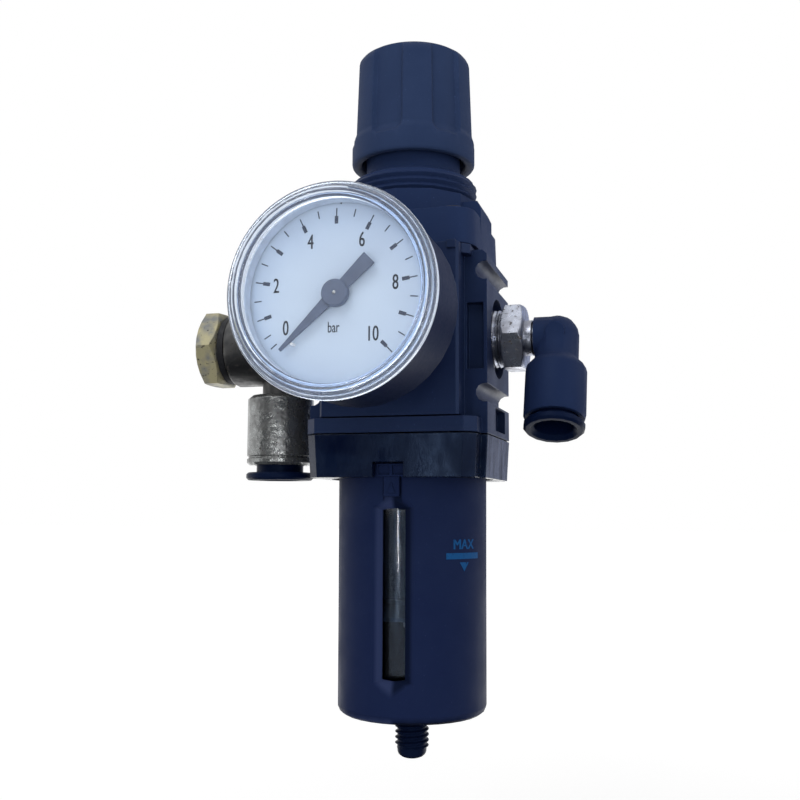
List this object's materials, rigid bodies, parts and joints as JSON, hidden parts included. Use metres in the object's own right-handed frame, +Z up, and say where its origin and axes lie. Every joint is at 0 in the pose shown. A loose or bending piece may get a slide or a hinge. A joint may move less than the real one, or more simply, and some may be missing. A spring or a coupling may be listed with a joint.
{
  "type": "filter regulator",
  "caption": "Compressed-air filter regulator with adjusting knob, dial gauge, guarded filter bowl with drain, and push-in elbow fittings on both ports.",
  "frame": {"origin": "the ports' axis where it crosses the vertical axis of the body, which is where the air line holds the part", "axes": "+X along the ports' axis to the right-hand port, -Y forwards to the gauge, +Z up through the knob"},
  "size_m": [0.0913, 0.0794, 0.1611],
  "materials": {
    "moulded_black": "satin, lightly worn",
    "gloss_black": "glossy, scuffed",
    "nickel": "nickel plate, dulled and speckled",
    "brass": "dull machined brass",
    "steel": "zinc plated",
    "rubber": "matt",
    "white_plastic": "satin",
    "filter": "porous",
    "dial_white": "printed, matt",
    "clear": "clear moulding"
  },
  "bodies": {
    "housing": {"body": "moulded_black", "front_cover": "moulded_black", "rear_cover": "moulded_black", "bonnet": "moulded_black", "bonnet_screw_1": "steel", "bonnet_screw_2": "steel", "bonnet_screw_3": "steel", "bonnet_screw_4": "steel", "diaphragm": "rubber", "adjusting_spring": "steel", "valve_guide": "white_plastic", "valve_spring": "steel", "deflector": "white_plastic", "filter_element": "filter", "baffle": "white_plastic", "bowl_cap": "gloss_black", "gauge_socket": "brass", "gauge_seal": "rubber", "gauge_case": "moulded_black", "gauge_crystal": "clear", "gauge_dial": "dial_white", "movement_plate_back": "brass", "movement_plate_front": "brass", "bourdon_tube": "brass", "right_stud": "nickel", "left_bolt": "brass", "left_washer_outer": "rubber", "left_washer_inner": "rubber"},
    "screw": {"adjusting_screw": "steel"},
    "knob": {"knob": "moulded_black"},
    "nut": {"spring_nut": "brass"},
    "diaphragm_centre": {"diaphragm_plate": "brass"},
    "poppet": {"valve_poppet": "brass"},
    "bowl_seat": {"bowl_o_ring": "rubber"},
    "bowl": {"bowl": "clear", "bowl_guard": "moulded_black", "drain_seal": "rubber"},
    "lock": {"lock_button": "moulded_black"},
    "drain": {"drain_screw": "moulded_black"},
    "pointer": {"gauge_pointer": "moulded_black"},
    "sector": {"gauge_sector": "brass"},
    "link": {"gauge_link": "brass"},
    "right_elbow": {"right_elbow": "moulded_black", "right_tube_seal": "rubber", "right_collet": "steel"},
    "right_ring": {"right_release_ring": "moulded_black"},
    "left_banjo": {"left_banjo": "brass", "left_socket": "nickel", "left_tube_seal": "rubber", "left_collet": "steel"},
    "left_ring": {"left_release_ring": "moulded_black"}
  },
  "joints": [
    {"name": "knob_turn", "type": "hinge", "parent": "housing", "child": "screw", "pos_m": [0, 0, 0.0398], "axis": [0, 0, -1], "range_deg": [0, 1800]},
    {"name": "knob_pull", "type": "slide", "parent": "screw", "child": "knob", "axis": [0, 0, 1], "range_m": [0, 0.003]},
    {"name": "nut_travel", "type": "slide", "parent": "housing", "child": "nut", "axis": [0, 0, -1], "range_m": [0, 0.00502], "deforming": ["adjusting_spring"]},
    {"name": "diaphragm_stroke", "type": "slide", "parent": "housing", "child": "diaphragm_centre", "axis": [0, 0, -1], "range_m": [0, 0.001], "stiffness_N_per_m": 400, "springref_m": -0.001, "deforming": ["diaphragm"]},
    {"name": "valve_stroke", "type": "slide", "parent": "housing", "child": "poppet", "axis": [0, 0, -1], "range_m": [0, 0.001], "deforming": ["valve_spring"]},
    {"name": "bowl_drop", "type": "slide", "parent": "housing", "child": "bowl_seat", "axis": [0, 0, -1], "range_m": [0, 0.066]},
    {"name": "bowl_turn", "type": "hinge", "parent": "bowl_seat", "child": "bowl", "pos_m": [0, 0, -0.0262], "axis": [0, 0, -1], "range_deg": [0, 45]},
    {"name": "lock_press", "type": "slide", "parent": "bowl", "child": "lock", "axis": [0, 0, -1], "range_m": [0, 0.0012], "stiffness_N_per_m": 400, "springref_m": -0.0008},
    {"name": "drain_turn", "type": "hinge", "parent": "bowl", "child": "drain", "pos_m": [0, 0, -0.0826], "axis": [0, 0, -1], "range_deg": [0, 360]},
    {"name": "pointer_turn", "type": "hinge", "parent": "housing", "child": "pointer", "pos_m": [0, -0.0541, 0.0004], "axis": [0, 1, 0], "range_deg": [0, 270], "stiffness_Nm_per_rad": 0.0001, "springref_deg": -45.84},
    {"name": "sector_turn", "type": "hinge", "parent": "housing", "child": "sector", "pos_m": [0, -0.047, -0.0092], "axis": [0, 1, 0], "range_deg": [-38.6, 0], "deforming": ["bourdon_tube"]},
    {"name": "link_turn", "type": "hinge", "parent": "sector", "child": "link", "pos_m": [0.0032, -0.04835, -0.0092], "axis": [0, 1, 0], "range_deg": [0, 38.6]},
    {"name": "right_elbow_swivel", "type": "hinge", "parent": "housing", "child": "right_elbow", "pos_m": [0.0333, 0, 0], "axis": [1, 0, 0], "continuous": true},
    {"name": "right_ring_push", "type": "slide", "parent": "right_elbow", "child": "right_ring", "axis": [0, 0.3584, 0.9336], "range_m": [0, 0.0007], "stiffness_N_per_m": 300, "springref_m": -0.0005},
    {"name": "left_banjo_swivel", "type": "hinge", "parent": "housing", "child": "left_banjo", "pos_m": [-0.0326, 0, 0], "axis": [1, 0, 0], "continuous": true},
    {"name": "left_ring_push", "type": "slide", "parent": "left_banjo", "child": "left_ring", "axis": [0, 0, 1], "range_m": [0, 0.0012], "stiffness_N_per_m": 300, "springref_m": -0.0005}
  ],
  "couplings": [
    {"joint": "nut_travel", "follows": "knob_turn", "m_per_rad": 0.00015915},
    {"joint": "valve_stroke", "follows": "diaphragm_stroke", "ratio": 1},
    {"joint": "sector_turn", "follows": "pointer_turn", "ratio": -0.14286},
    {"joint": "link_turn", "follows": "pointer_turn", "ratio": 0.14286}
  ]
}
